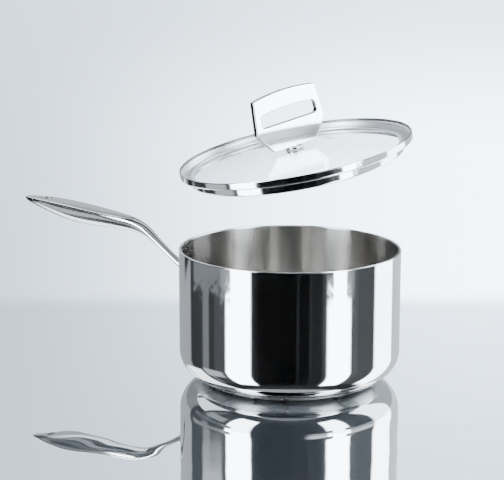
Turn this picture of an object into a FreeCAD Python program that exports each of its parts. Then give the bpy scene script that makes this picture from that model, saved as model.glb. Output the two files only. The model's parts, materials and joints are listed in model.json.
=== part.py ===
import FreeCAD, Part
import math
import os

V = FreeCAD.Vector
ORIGIN = V(0, 0, 0)
UP = V(0, 0, 1)

# Saucepan with a glass lid. Millimetres, +Z up, the pan stands on the plane z = 0,
# its axis is the Z axis and its handle points along -X.

# ---- pan ----------------------------------------------------------------------------
pan_outer_radius = 82.0       # 16 cm class: 160 mm inside the wall
pan_height = 99.0
wall = 2.0                    # drawn stainless sheet, wall and floor
corner_radius = 20.0          # outer bend between wall and floor
rim_rounding = 0.7            # polished round on both edges of the mouth

# ---- heat-spreading base ------------------------------------------------------------
base_sweep_radius = 26.0      # round under-edge of the cap, in line with the wall
core_overlap = 2.0            # copper disc beyond the flat foot of the cap
core_radius = pan_outer_radius - base_sweep_radius + core_overlap
core_thickness = 2.2          # copper disc
cap_sheet = 0.8               # stainless cap that wraps the disc
cap_edge_height = 5.2         # top of the cap's thick edge, against the bend of the pan
core_clearance = 0.1          # between disc and the cap's edge

# ---- handle: stations along its crease line -----------------------------------------
# reach from the wall, height above the foot, half width, crown, belly, slope in degrees
handle_foot_drop = 36.0       # foot centre below the mouth of the pan
handle_stations = [
    (-4.0, 0.0, 13.5, 8.0, 8.5, 4.0),
    (2.0, 0.6, 12.0, 7.0, 7.4, 8.0),
    (9.0, 2.4, 8.2, 4.6, 5.2, 16.0),
    (17.0, 5.8, 5.0, 2.6, 4.0, 24.0),
    (27.0, 10.6, 3.9, 1.8, 3.6, 30.0),
    (39.0, 18.0, 3.6, 1.6, 3.7, 34.0),
    (50.0, 25.6, 3.9, 1.6, 4.6, 34.0),
    (59.0, 31.6, 4.7, 1.7, 6.5, 27.0),
    (70.0, 36.1, 5.8, 1.6, 8.4, 15.0),
    (84.0, 38.5, 7.4, 1.4, 10.1, 6.0),
    (100.0, 39.8, 9.0, 1.2, 11.5, 4.0),
    (118.0, 41.1, 10.0, 1.1, 13.3, 4.0),
    (136.0, 42.2, 10.3, 1.1, 13.8, 3.2),
    (153.0, 43.0, 9.9, 1.0, 12.3, 2.0),
    (167.0, 43.3, 8.9, 1.0, 9.8, 0.8),
    (178.5, 43.3, 7.3, 0.9, 7.2, 0.0),
    (187.5, 43.2, 5.2, 0.7, 4.8, -1.0),
    (192.8, 42.9, 2.8, 0.5, 2.5, -3.0),
]
handle_tip_reach = 194.8
handle_tip_height = 42.6
hang_hole_radius = 5.0
hang_hole_from_tip = 24.5
weld_leg = 1.8                # polished fillet weld round the foot

# ---- lid ring -----------------------------------------------------------------------
rim_overhang = 4.0            # ring beyond the outside of the pan
ring_band_height = 5.3
ring_sheet = 0.7
ring_hem_width = 1.2          # folded top edge
ring_hem_depth = 2.0
ring_bend_radius = 1.2
skirt_clearance = 1.2         # radial, inside the mouth of the pan
skirt_depth = 6.7
skirt_lip = 1.8               # turned-in foot under the glass
seat_gap = 0.3                # air between ring and rim at the seated pose

# ---- glass and seal -----------------------------------------------------------------
glass_thickness = 4.0
glass_edge_rounding = 1.2
glass_dome = 6.4              # rise of the pane from its edge band to its centre
glass_hole_radius = 4.0
seal_web = 0.6
seal_top_lip = 0.5
seal_bottom_lip = 1.3
seal_lip_reach = 1.6
edge_band_margin = 0.4        # flat band of the pane inside the seal lips

# ---- lid handle and its fastening ---------------------------------------------------
tab_thickness = 5.6
tab_top_width = 51.5
tab_wide_width = 56.5
tab_foot_width = 34.5
tab_bevel_height = 14.7
tab_side_height = 25.2
tab_arch = 2.6                # rise of the curved top edge
tab_edge_rounding = 0.7
slot_bottom_width = 46.0
slot_top_width = 44.5
slot_bottom_height = 19.0
slot_side_height = 9.9
slot_arch = 1.7
slot_corner_radius = 3.0
tab_yaw = 64.0                # turned about the lid's axis, degrees from +X
tab_lean = 2.5                # off square in its own plane, on its single screw
spacer_radius = 6.0
spacer_thickness = 1.4
washer_radius = 6.5
washer_thickness = 0.7
washer_collar_depth = 1.5
washer_fit = 0.2              # radial, collar in the glass hole
screw_radius = 2.0            # M4
screw_fit = 0.1               # radial, screw in every hole it passes
screw_engagement = 9.0
screw_head_radius = 4.4
screw_head_height = 2.4
screw_head_rounding = 1.3
screw_recess_across_flats = 2.5
screw_recess_depth = 1.6
plate_washer_radius = 5.6
plate_washer_thickness = 0.8
spring_washer_radius = 3.6
spring_washer_thickness = 0.9
spring_washer_cut = 0.7

# ---- where the lid hangs at rest ----------------------------------------------------
lid_tilt = 11.0               # degrees from level
lid_tip_yaw = 56.0            # the side held highest, degrees from +X
lid_raise = 67.6              # above its seat
lid_drift = 3.5               # sideways, towards the side held highest

# ---- sizes that follow --------------------------------------------------------------
pan_inner_radius = pan_outer_radius - wall
stack_height = core_thickness + cap_sheet
seat_height = pan_height + seat_gap
ring_outer_radius = pan_outer_radius + rim_overhang
ring_inner_radius = ring_outer_radius - ring_sheet
skirt_outer_radius = pan_inner_radius - skirt_clearance
skirt_inner_radius = skirt_outer_radius - ring_sheet
lip_inner_radius = skirt_inner_radius - skirt_lip
lip_top = ring_sheet - skirt_depth
glass_radius = skirt_inner_radius - seal_web
glass_bottom = lip_top + seal_bottom_lip
glass_top = glass_bottom + glass_thickness
seal_inner_radius = glass_radius - seal_lip_reach
dome_radius = seal_inner_radius - edge_band_margin


def dome_rise(radius):
    """Height of the pane above its edge band."""
    return glass_dome * (1 - (radius / dome_radius) ** 2)


upper_washer_bottom = glass_top + dome_rise(glass_hole_radius)
spacer_bottom = upper_washer_bottom + washer_thickness
tab_bottom = (spacer_bottom + spacer_thickness
              + spacer_radius * math.sin(math.radians(tab_lean)))
lower_washer_top = glass_bottom + dome_rise(washer_radius)
lower_washer_bottom = lower_washer_top - washer_thickness
plate_washer_bottom = lower_washer_bottom - plate_washer_thickness
spring_washer_bottom = plate_washer_bottom - spring_washer_thickness
screw_hole_radius = screw_radius + screw_fit
foot_height = pan_height - handle_foot_drop
EPS = 1e-6


def corner_arc(before, corner, after, radius):
    """Start, middle and end of the round that replaces a corner."""
    to_before = (before - corner).normalize()
    to_after = (after - corner).normalize()
    half = to_before.getAngle(to_after) / 2
    run = radius / math.tan(half)
    bisector = (to_before + to_after).normalize()
    centre = corner + bisector * (radius / math.sin(half))
    start = corner + to_before * run
    end = corner + to_after * run
    middle = centre - bisector * radius
    return start, middle, end


def rounded_face(corners):
    """Flat face in the XZ plane from (x, z, rounding) corners."""
    points = [V(x, 0, z) for x, z, _ in corners]
    count = len(corners)
    spans = []
    for i in range(count):
        radius = corners[i][2]
        if radius:
            spans.append(corner_arc(points[i - 1], points[i], points[(i + 1) % count], radius))
        else:
            spans.append((points[i], None, points[i]))
    edges = []
    for i in range(count):
        start, middle, end = spans[i]
        following = spans[(i + 1) % count][0]
        if middle is not None:
            edges.append(Part.Arc(start, middle, end).toShape())
        if end.distanceToPoint(following) > EPS:
            edges.append(Part.makeLine(end, following))
    return Part.Face(Part.Wire(edges))


def turned(corners):
    """Solid of revolution about Z from (radius, z, rounding) corners."""
    return rounded_face(corners).revolve(ORIGIN, UP, 360)


def disc(radius, bottom, thickness):
    return Part.makeCylinder(radius, thickness, V(0, 0, bottom), UP)


def washer(radius, hole, bottom, thickness):
    return disc(radius, bottom, thickness).cut(disc(hole, bottom, thickness))


def arched_slab(outline, arch, thickness):
    """Plate from (x, z) points; its edge from last to first point arches upwards."""
    points = [V(x, -thickness / 2, z) for x, z in outline]
    edges = [Part.makeLine(a, b) for a, b in zip(points, points[1:])]
    top = (points[-1] + points[0]) * 0.5 + V(0, 0, arch)
    edges.append(Part.Arc(points[-1], top, points[0]).toShape())
    return Part.Face(Part.Wire(edges)).extrude(V(0, thickness, 0))


def edges_along_y(shape):
    found = []
    for edge in shape.Edges:
        span = edge.Vertexes[-1].Point - edge.Vertexes[0].Point
        if abs(span.y) > EPS and abs(span.x) < EPS and abs(span.z) < EPS:
            found.append(edge)
    return found


def edges_on_faces_y(shape, y):
    found = []
    for edge in shape.Edges:
        box = edge.BoundBox
        if abs(box.YMin - y) < EPS and abs(box.YMax - y) < EPS:
            found.append(edge)
    return found


def handle_section(reach, rise, half_width, crown, belly, slope, grow=0.0):
    """Crowned top and rounded belly that meet in two side creases."""
    angle = math.radians(slope)
    centre = V(-(pan_outer_radius + reach), 0, foot_height + rise)
    normal = V(math.sin(angle), 0, math.cos(angle))
    side = V(0, 1, 0)
    wide = half_width + grow
    high = (crown + grow) * 4 / 3
    low = (belly + grow) * 4 / 3
    left = centre - side * wide
    right = centre + side * wide
    over = Part.BezierCurve()
    over.setPoles([left, centre - side * wide / 2 + normal * high,
                   centre + side * wide / 2 + normal * high, right])
    under = Part.BezierCurve()
    under.setPoles([right, right - normal * low, left - normal * low, left])
    return Part.Wire([over.toShape(), under.toShape()])


def make_pan_body():
    r, w, c = pan_outer_radius, wall, corner_radius
    return turned([
        (0, stack_height, 0),
        (r, stack_height, c),
        (r, pan_height, rim_rounding),
        (r - w, pan_height, rim_rounding),
        (r - w, stack_height + w, c - w),
        (0, stack_height + w, 0),
    ])


def pan_envelope():
    """The pan's outside, filled, for trimming what is joined to it."""
    return turned([
        (0, stack_height, 0),
        (pan_outer_radius, stack_height, corner_radius),
        (pan_outer_radius, pan_height, 0),
        (0, pan_height, 0),
    ])


def make_base_core():
    return disc(core_radius, cap_sheet, core_thickness)


def make_base_cap():
    """Cap whose round edge carries the line of the wall under the pan."""
    r = pan_outer_radius
    sweep = turned([
        (0, 0, 0),
        (r, 0, base_sweep_radius),
        (r, pan_height, 0),
        (0, pan_height, 0),
    ])
    cap = sweep.common(disc(r, 0, cap_edge_height))
    cap = cap.cut(disc(core_radius + core_clearance, cap_sheet, core_thickness))
    return cap.cut(pan_envelope())


def make_handle():
    sections = [handle_section(*station) for station in reversed(handle_stations)]
    tip = V(-(pan_outer_radius + handle_tip_reach), 0, foot_height + handle_tip_height)
    sections.insert(0, Part.Vertex(tip))
    bar = Part.makeLoft(sections, True, False)
    hole_x = tip.x + hang_hole_from_tip
    hole = Part.makeCylinder(hang_hole_radius, pan_height, V(hole_x, 0, foot_height), UP)
    return bar.cut(hole).cut(pan_envelope())


def make_handle_weld(handle):
    inside, outside = handle_stations[0], handle_stations[1]
    bead = Part.makeLoft([handle_section(*inside, grow=weld_leg * 2),
                          handle_section(*outside)], True, True)
    return bead.cut(pan_envelope()).cut(handle)


def make_lid_ring():
    top = ring_band_height
    r, s = ring_outer_radius, ring_sheet
    hem = ring_outer_radius - ring_hem_width
    bend = ring_bend_radius
    return turned([
        (r, 0, bend),
        (r, top, s / 2),
        (hem, top, s / 2),
        (hem, top - ring_hem_depth, s / 3),
        (ring_inner_radius, top - ring_hem_depth - s, 0),
        (ring_inner_radius, s, bend - s / 2),
        (skirt_inner_radius, s, bend),
        (skirt_inner_radius, lip_top, 0),
        (lip_inner_radius, lip_top, 0),
        (lip_inner_radius, -skirt_depth, s / 3),
        (skirt_outer_radius, -skirt_depth, bend),
        (skirt_outer_radius, 0, s / 2),
    ])


def make_lid_seal():
    return turned([
        (skirt_inner_radius, lip_top, 0),
        (skirt_inner_radius, glass_top + seal_top_lip, 0),
        (seal_inner_radius, glass_top + seal_top_lip, 0),
        (seal_inner_radius, glass_top, 0),
        (glass_radius, glass_top, glass_edge_rounding),
        (glass_radius, glass_bottom, glass_edge_rounding),
        (seal_inner_radius, glass_bottom, 0),
        (seal_inner_radius, lip_top, 0),
    ])


def make_lid_glass():
    """Domed pane with a flat, rounded edge band that the seal grips."""
    reaches = (glass_hole_radius, dome_radius / 2, dome_radius)
    lower = [V(r, 0, glass_bottom + dome_rise(r)) for r in reaches]
    upper = [V(r, 0, glass_top + dome_rise(r)) for r in reversed(reaches)]
    low = V(glass_radius, 0, glass_bottom)
    high = V(glass_radius, 0, glass_top)
    low_round = corner_arc(lower[-1], low, high, glass_edge_rounding)
    high_round = corner_arc(low, high, upper[0], glass_edge_rounding)
    edges = [
        Part.Arc(*lower).toShape(),
        Part.makeLine(lower[-1], low_round[0]),
        Part.Arc(*low_round).toShape(),
        Part.makeLine(low_round[-1], high_round[0]),
        Part.Arc(*high_round).toShape(),
        Part.makeLine(high_round[-1], upper[0]),
        Part.Arc(*upper).toShape(),
        Part.makeLine(upper[-1], lower[0]),
    ]
    return Part.Face(Part.Wire(edges)).revolve(ORIGIN, UP, 360)


def make_lid_handle():
    wide = tab_bevel_height
    corner = wide + tab_side_height
    plate = arched_slab([
        (-tab_top_width / 2, corner),
        (-tab_wide_width / 2, wide),
        (-tab_foot_width / 2, 0),
        (tab_foot_width / 2, 0),
        (tab_wide_width / 2, wide),
        (tab_top_width / 2, corner),
    ], tab_arch, tab_thickness)
    slot_top = slot_bottom_height + slot_side_height
    slot = arched_slab([
        (-slot_top_width / 2, slot_top),
        (-slot_bottom_width / 2, slot_bottom_height),
        (slot_bottom_width / 2, slot_bottom_height),
        (slot_top_width / 2, slot_top),
    ], slot_arch, tab_thickness)
    slot = slot.makeFillet(slot_corner_radius, edges_along_y(slot))
    half = tab_thickness / 2
    outer_edges = edges_on_faces_y(plate, half) + edges_on_faces_y(plate, -half)
    plate = plate.makeFillet(tab_edge_rounding, outer_edges)
    plate = plate.cut(slot)
    plate.rotate(ORIGIN, V(0, 1, 0), -tab_lean)
    plate = plate.cut(disc(screw_hole_radius, -wide, wide + screw_engagement + screw_fit))
    plate.rotate(ORIGIN, UP, tab_yaw)
    plate.translate(V(0, 0, tab_bottom))
    return plate


def make_spacer():
    return washer(spacer_radius, screw_hole_radius, spacer_bottom, spacer_thickness)


def make_collar_washer(bottom, collar_bottom):
    """Silicone washer with a collar that lines the hole in the glass."""
    collar_radius = glass_hole_radius - washer_fit
    flat = disc(washer_radius, bottom, washer_thickness)
    collar = disc(collar_radius, collar_bottom, washer_collar_depth)
    body = flat.fuse(collar).removeSplitter()
    return body.cut(disc(screw_hole_radius, bottom - glass_thickness, 2 * glass_thickness))


def make_spring_washer():
    ring = washer(spring_washer_radius, screw_hole_radius, spring_washer_bottom,
                  spring_washer_thickness)
    cut = Part.makeBox(spring_washer_radius * 2, spring_washer_cut, spring_washer_thickness,
                       V(0, -spring_washer_cut / 2, spring_washer_bottom))
    return ring.cut(cut)


def make_screw():
    head_bottom = spring_washer_bottom - screw_head_height
    shank_length = tab_bottom + screw_engagement - spring_washer_bottom
    shank = disc(screw_radius, spring_washer_bottom, shank_length)
    head = turned([
        (0, head_bottom, 0),
        (screw_head_radius, head_bottom, screw_head_rounding),
        (screw_head_radius, spring_washer_bottom, 0),
        (0, spring_washer_bottom, 0),
    ])
    circumradius = screw_recess_across_flats / math.sqrt(3)
    ring = [V(circumradius * math.cos(math.radians(60 * i)),
              circumradius * math.sin(math.radians(60 * i)), head_bottom) for i in range(7)]
    recess = Part.Face(Part.makePolygon(ring)).extrude(V(0, 0, screw_recess_depth))
    return head.fuse(shank).removeSplitter().cut(recess)


def hang_lid(shape):
    """Carry a lid piece from its own frame to where the lid hangs at rest."""
    yaw = math.radians(lid_tip_yaw)
    tip = V(math.cos(yaw), math.sin(yaw), 0)
    axis = V(math.sin(yaw), -math.cos(yaw), 0)
    shape.rotate(V(0, 0, ring_band_height), axis, lid_tilt)
    shape.translate(V(0, 0, seat_height + lid_raise) + tip * lid_drift)
    return shape


handle = make_handle()
pan_nodes = {
    "pan_body": make_pan_body(),
    "base_core_disc": make_base_core(),
    "base_cap": make_base_cap(),
    "handle": handle,
    "handle_weld": make_handle_weld(handle),
}
lid_nodes = {
    "lid_ring": make_lid_ring(),
    "lid_seal": make_lid_seal(),
    "lid_glass": make_lid_glass(),
    "lid_handle": make_lid_handle(),
    "lid_spacer": make_spacer(),
    "upper_silicone_washer": make_collar_washer(upper_washer_bottom,
                                                upper_washer_bottom - washer_collar_depth),
    "lower_silicone_washer": make_collar_washer(lower_washer_bottom, lower_washer_top),
    "plate_washer": washer(plate_washer_radius, screw_hole_radius, plate_washer_bottom,
                           plate_washer_thickness),
    "spring_washer": make_spring_washer(),
    "lid_screw": make_screw(),
}

os.makedirs("parts", exist_ok=True)
for name, shape in pan_nodes.items():
    shape.exportStep("parts/" + name + ".step")
for name, shape in lid_nodes.items():
    hang_lid(shape).exportStep("parts/" + name + ".step")
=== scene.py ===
# %% [markdown]
# # A saucepan and its glass lid
# Polished stainless steel, a cast handle, and a domed glass lid that hangs above the pan.
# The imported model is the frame: it gives every place and outside size. The pieces that
# are seen close are made again here as smooth meshes, because a CAD mesh is cut into flat
# facets, and facets break the long clean reflections of polished steel. The small
# fastenings keep their CAD meshes and only get a finish.

# %% Load the frame
import json
import math

import bmesh
import bpy
import numpy as np
from mathutils import Matrix, Vector


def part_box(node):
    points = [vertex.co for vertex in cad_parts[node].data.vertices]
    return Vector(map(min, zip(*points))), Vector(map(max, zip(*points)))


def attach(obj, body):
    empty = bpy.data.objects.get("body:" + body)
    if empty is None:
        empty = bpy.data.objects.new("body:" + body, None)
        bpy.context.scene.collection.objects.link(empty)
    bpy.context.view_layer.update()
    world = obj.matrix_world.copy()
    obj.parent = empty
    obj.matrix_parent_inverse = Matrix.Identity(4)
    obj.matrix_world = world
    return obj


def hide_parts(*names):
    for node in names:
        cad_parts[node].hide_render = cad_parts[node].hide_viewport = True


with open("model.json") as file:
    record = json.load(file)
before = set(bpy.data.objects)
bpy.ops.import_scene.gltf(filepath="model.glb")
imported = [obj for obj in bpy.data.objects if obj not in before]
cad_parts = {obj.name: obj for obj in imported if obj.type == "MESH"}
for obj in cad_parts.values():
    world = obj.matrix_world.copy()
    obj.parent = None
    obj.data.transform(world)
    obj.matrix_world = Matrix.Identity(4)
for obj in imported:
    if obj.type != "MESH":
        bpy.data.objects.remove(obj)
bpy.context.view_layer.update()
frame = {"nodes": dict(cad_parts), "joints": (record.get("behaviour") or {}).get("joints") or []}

MM = 0.001

# %% [markdown]
# ## Where the lid belongs
# The lid is easiest to make level, on its seat, with its axis on the pan's axis. The
# joint's lower limit is that level position, so the lid is carried to where it hangs by
# turning it about the joint's own line by that much. No angle is written down twice.

# %% Turn from the seat to where the lid hangs
joint = frame["joints"][0]
pivot = Vector(joint["pos_m"])
open_angle = -math.radians(joint["range_deg"][0])
pan_low, pan_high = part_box("pan_body")
seat_gap = 0.3 * MM
seat = Matrix.Translation((0, 0, pan_high.z + seat_gap))
swing = Matrix.Rotation(open_angle, 4, Vector(joint["axis"]))
hang = Matrix.Translation(pivot) @ swing @ Matrix.Translation(-pivot) @ seat
level = Matrix.Identity(4)
print("lid opens by", round(math.degrees(open_angle), 2), "degrees")

# %% [markdown]
# ## Node helper
# A finish is a small network of shader nodes. One helper makes a node, sets its options
# and fills its inputs: an input that is given another node's socket is linked, and any
# other value is set on the socket itself. The steps that every finish needs, such as a
# bump or a colour that drifts between two tints, get short names too.

# %% Make a node


def feed(node, inputs):
    """Link or set each of a node's inputs."""
    for key, value in inputs.items():
        if isinstance(value, bpy.types.NodeSocket):
            node.id_data.links.new(value, node.inputs[key])
        else:
            node.inputs[key].default_value = value


def put(tree, kind, inputs=None, **options):
    node = tree.nodes.new(kind)
    for name, value in options.items():
        setattr(node, name, value)
    feed(node, inputs or {})
    return node


# %% Name the small steps


def sums(tree, operation, *values):
    """Result socket of a Math node."""
    return put(tree, "ShaderNodeMath", dict(enumerate(values)), operation=operation).outputs[0]


def vectors(tree, operation, *values):
    """Result socket of a Vector Math node."""
    node = put(tree, "ShaderNodeVectorMath", dict(enumerate(values)), operation=operation)
    return node.outputs["Value" if operation in ("LENGTH", "DOT_PRODUCT") else "Vector"]


def spread(tree, value, low, high, to_low, to_high, smooth=False):
    """Map a value from one span to another, held at both ends."""
    kind = "SMOOTHSTEP" if smooth else "LINEAR"
    node = put(tree, "ShaderNodeMapRange", {
        "Value": value, "From Min": low, "From Max": high,
        "To Min": to_low, "To Max": to_high}, interpolation_type=kind)
    return node.outputs["Result"]


def blend(tree, share, at_none, at_full):
    """One number where the share is nought, the other where it is one."""
    return put(tree, "ShaderNodeMix", {0: share, 2: at_none, 3: at_full}).outputs[0]


def new_finish(name):
    """A new material, its node tree and its main shader."""
    material = bpy.data.materials.new(name)
    material.use_nodes = True
    return material, material.node_tree, material.node_tree.nodes["Principled BSDF"]


def bumped(tree, height, distance, strength=1.0):
    node = put(tree, "ShaderNodeBump", {
        "Height": height, "Strength": strength, "Distance": distance})
    return node.outputs["Normal"]


def drifting(tree, share, low, high):
    """Colour that drifts from one tint to another."""
    ramp = put(tree, "ShaderNodeValToRGB", {"Fac": share})
    for stop, colour in zip(ramp.color_ramp.elements, (low, high)):
        stop.color = (*colour, 1)
    return ramp.outputs["Color"]


# %% [markdown]
# ## Patterns that follow a turned piece
# Polishing a spun pan leaves faint rings. In a level piece, radius plus height grows
# steadily from the middle of the floor, round the bend and up the wall, so a fine noise
# on that sum draws rings on the floor and level lines on the wall without a seam. Each
# piece made here keeps its level coordinates in an attribute called "place", so that the
# pattern on the lid tilts with the lid.

# %% Fine rings, smudges and scratches


def level_place(tree, carried):
    """Coordinates of a piece before it was carried to where it hangs."""
    if carried:
        return put(tree, "ShaderNodeAttribute", attribute_name="place").outputs["Vector"]
    return put(tree, "ShaderNodeTexCoord").outputs["Object"]


def noise(tree, place, scale, detail=2.0, rough=0.5, stretch=None):
    if stretch:
        place = put(tree, "ShaderNodeMapping", {"Vector": place, "Scale": stretch}).outputs[0]
    node = put(tree, "ShaderNodeTexNoise", {
        "Vector": place, "Scale": scale, "Detail": detail, "Roughness": rough})
    return node.outputs["Fac"]


def rings(tree, place, spacing):
    """Noise drawn out along the turning direction; spacing is about one line's width."""
    parts = put(tree, "ShaderNodeSeparateXYZ", {"Vector": place}).outputs
    flat = put(tree, "ShaderNodeCombineXYZ", {"X": parts["X"], "Y": parts["Y"]}).outputs[0]
    radius = vectors(tree, "LENGTH", flat)
    along = sums(tree, "DIVIDE", sums(tree, "ADD", radius, parts["Z"]), spacing)
    slow = vectors(tree, "MULTIPLY", flat, (9.0, 9.0, 0.0))
    turned = put(tree, "ShaderNodeSeparateXYZ", {"Vector": slow}).outputs
    target = put(tree, "ShaderNodeCombineXYZ",
                 {"X": turned["X"], "Y": turned["Y"], "Z": along}).outputs[0]
    return noise(tree, target, 1.0, detail=3.0, rough=0.6)


def scratches(tree, place):
    """Sparse hairlines: the thin zero line of a drawn-out noise."""
    bent = vectors(tree, "ADD", place, noise(tree, place, 14.0))
    raw = noise(tree, bent, 60.0, detail=0.0, stretch=(1.0, 0.35, 2.6))
    near = sums(tree, "ABSOLUTE", sums(tree, "SUBTRACT", raw, 0.5))
    line = spread(tree, near, 0.0, 0.006, 1.0, 0.0, smooth=True)
    patch = spread(tree, noise(tree, place, 23.0), 0.55, 0.66, 0.0, 1.0)
    return sums(tree, "MULTIPLY", line, patch)


# %% [markdown]
# ## Metal finishes
# All the steel here is one alloy with different polish. So one function makes them, and
# what changes is how rough the polish is, how strongly the rings show, and how much the
# surface waves. Real metal is never evenly clean, so the roughness varies with cloudy
# smudges, and the bump carries rings, hairlines and a very shallow wave. Where the polish
# has a direction, the highlight is drawn out across it.

# %% Make a metal finish


MICRON = 0.001 * MM


def metal(name, colour, rough, ring_microns, wave_microns, carried=True, across=0.0,
          ring_spacing=0.5 * MM, smudge=0.06, patches=0.06, hairs=0.01):
    ring_depth, wave_depth = ring_microns * MICRON, wave_microns * MICRON
    material, tree, shader = new_finish(name)
    place = level_place(tree, carried)
    cloud = noise(tree, place, 28.0, detail=4.0)
    fine_rings = rings(tree, place, ring_spacing)
    hairline = scratches(tree, place)
    tint = drifting(tree, cloud, [c * (1 - patches) for c in colour], colour)
    worn = spread(tree, cloud, 0.35, 0.7, rough, rough + smudge)
    lined = sums(tree, "MULTIPLY", hairline, hairs)
    wave = noise(tree, place, 34.0, detail=1.0)
    height = sums(tree, "ADD",
                  sums(tree, "MULTIPLY", fine_rings, ring_depth),
                  sums(tree, "MULTIPLY", wave, wave_depth))
    height = sums(tree, "SUBTRACT", height, sums(tree, "MULTIPLY", hairline, ring_depth * 0.8))
    feed(shader, {"Base Color": tint, "Roughness": sums(tree, "ADD", worn, lined),
                  "Metallic": 1.0, "Normal": bumped(tree, height, 1.0)})
    if across:
        along = put(tree, "ShaderNodeTangent", direction_type="UV_MAP", uv_map="turned")
        feed(shader, {"Anisotropic": across, "Tangent": along.outputs["Tangent"]})
    return material


# %% [markdown]
# ## The degrees of polish
# The outside of the pan is close to a mirror. Its inside is brushed, and its colour is
# painted darker as shade, for the light that goes to and fro in the cup and loses a little
# each time. The base is turned with open rings. The casting, the ring and the lid's handle
# are buffed. The ring's hollow side and the bore of the hanging hole are hard to reach with
# a wheel, so they stay satin, and the bore's colour is painted dark as the shade inside the
# hole. The inner face of the ring's fold is painted near black, as the shade in its crevice.
# After its name and colour, each finish has its roughness, then the depth of its rings and
# of its wave in microns.

# %% The metal finishes
STEEL = (0.80, 0.805, 0.815)
pan_polish = metal("pan_polish", STEEL, 0.04, 0.1, 4.5, across=0.3, smudge=0.012)
# Painted shade: the inside of the cup gets a steel colour darkened to stand for its shade.
pan_satin_painted_shade = metal("pan_satin_painted_shade", (0.46, 0.45, 0.435), 0.17, 5, 4, across=0.99, smudge=0.04,
                  patches=0.12)
base_turned = metal("base_turned", (0.80, 0.805, 0.81), 0.26, 0.8, 4, across=0.6,
                    ring_spacing=0.9 * MM, smudge=0.04)
cast_polish = metal("cast_polish", (0.79, 0.795, 0.80), 0.07, 0.05, 12, smudge=0.03)
ring_polish = metal("ring_polish", STEEL, 0.055, 0.1, 3, smudge=0.02)
tab_polish = metal("tab_polish", STEEL, 0.07, 0.05, 3, smudge=0.03)
inner_satin = metal("inner_satin", (0.72, 0.725, 0.74), 0.3, 0.2, 1)
# Painted shade: near black stands for the shade in the crevice of the ring's fold.
fold_painted_shade = metal("fold_painted_shade", (0.10, 0.105, 0.11), 0.35, 0.4, 1)
# Painted shade: dark grey stands for the shade inside the hanging hole.
bore_satin_painted_shade = metal("bore_satin_painted_shade", (0.3, 0.3, 0.3), 0.3, 0.6, 2)
weld_polish = metal("weld_polish", (0.77, 0.775, 0.78), 0.12, 0.1, 18)
print("metal finishes:", len(bpy.data.materials))

# %% [markdown]
# ## Finishes of the pieces that keep their CAD meshes
# The screw, its washers and the copper disc inside the base are carried over. They have
# no "place" attribute, so their patterns read the object's own coordinates.

# %% Finishes for the fastenings
screw_steel = metal("screw_steel", (0.72, 0.725, 0.73), 0.22, 0.6, 1, carried=False)
copper = metal("copper_disc", (0.86, 0.50, 0.36), 0.3, 0.8, 2, carried=False, patches=0.22)

# %% [markdown]
# ## Silicone
# The seal and the two washers are moulded silicone: soft, slightly cloudy and a little
# see-through. A low transmission with a rough surface gives the milky look, and a fine
# mould grain breaks the highlight.

# %% Make a silicone finish


def silicone(name, colour, clear, carried):
    material, tree, shader = new_finish(name)
    place = level_place(tree, carried)
    cloud = noise(tree, place, 90.0, detail=3.0)
    tint = drifting(tree, cloud, [c * 0.88 for c in colour], colour)
    grain = noise(tree, place, 2200.0, detail=2.0)
    feed(shader, {"Base Color": tint, "Normal": bumped(tree, grain, 12 * MICRON, 0.6),
                  "Roughness": spread(tree, cloud, 0.3, 0.7, 0.38, 0.5),
                  "IOR": 1.41, "Transmission Weight": clear})
    return material


clear_silicone = silicone("clear_silicone", (0.86, 0.88, 0.89), 0.55, True)
grey_silicone = silicone("grey_silicone", (0.62, 0.64, 0.65), 0.15, False)

# %% [markdown]
# ## Glass
# Toughened soda-lime glass is clear with a trace of green-grey. The pane is a closed
# solid, so light bends in and out of it as in the real lid. Faint wipe marks show only in
# the roughness.

# %% Make the glass finish
glass, glass_tree, pane = new_finish("lid_glass_clear")
glass_place = level_place(glass_tree, True)
wipe = noise(glass_tree, glass_place, 18.0, detail=3.0, stretch=(1.0, 2.4, 1.0))
pane_tint = drifting(glass_tree, wipe, (0.955, 0.975, 0.98), (0.975, 0.99, 0.992))
pane_wave = noise(glass_tree, glass_place, 20.0, detail=0.0)
feed(pane, {"Base Color": pane_tint, "Normal": bumped(glass_tree, pane_wave, 3 * MICRON),
            "Roughness": spread(glass_tree, wipe, 0.58, 0.8, 0.0, 0.03),
            "IOR": 1.52, "Transmission Weight": 1.0})

# %% [markdown]
# ## Outlines with rounded corners
# A pressed sheet has no sharp corner. An outline is written as its few corners, each with
# a radius, and this helper puts an arc in place of each corner. It also puts one point
# just past each end of an arc, which keeps the flats flat when the mesh is shaded smooth.

# %% Round the corners of an outline


def rounded(corners, closed, steps=7, hold=0.25 * MM):
    points = []
    count = len(corners)
    for i, (x, z, radius) in enumerate(corners):
        here = Vector((x, z))
        if not radius or (not closed and i in (0, count - 1)):
            points.append(here)
            continue
        before = Vector(corners[i - 1][:2]) - here
        after = Vector(corners[(i + 1) % count][:2]) - here
        room = min(before.length, after.length)
        before.normalize()
        after.normalize()
        half = before.angle(after) / 2
        run = radius / math.tan(half)
        centre = here + (before + after).normalized() * radius / math.sin(half)
        arm = here + before * run - centre
        turn = arm.angle_signed(here + after * run - centre)
        if run + hold < room * 0.95:
            points.append(here + before * (run + hold))
        for k in range(steps + 1):
            points.append(centre + Matrix.Rotation(-turn * k / steps, 2) @ arm)
        if run + hold < room * 0.95:
            points.append(here + after * (run + hold))
    return [(p.x, p.y) for p in points]


# %% [markdown]
# ## Turned pieces
# The pan, its base cap, and the lid's ring, seal, pane and spacer are all turned about
# one axis, so one Geometry Nodes tree makes them: a circle carries the outline round, and
# the ends that meet on the axis are merged. The tree has inputs for the turning radius,
# the number of steps round and the finish.

# %% The turning tree


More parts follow.
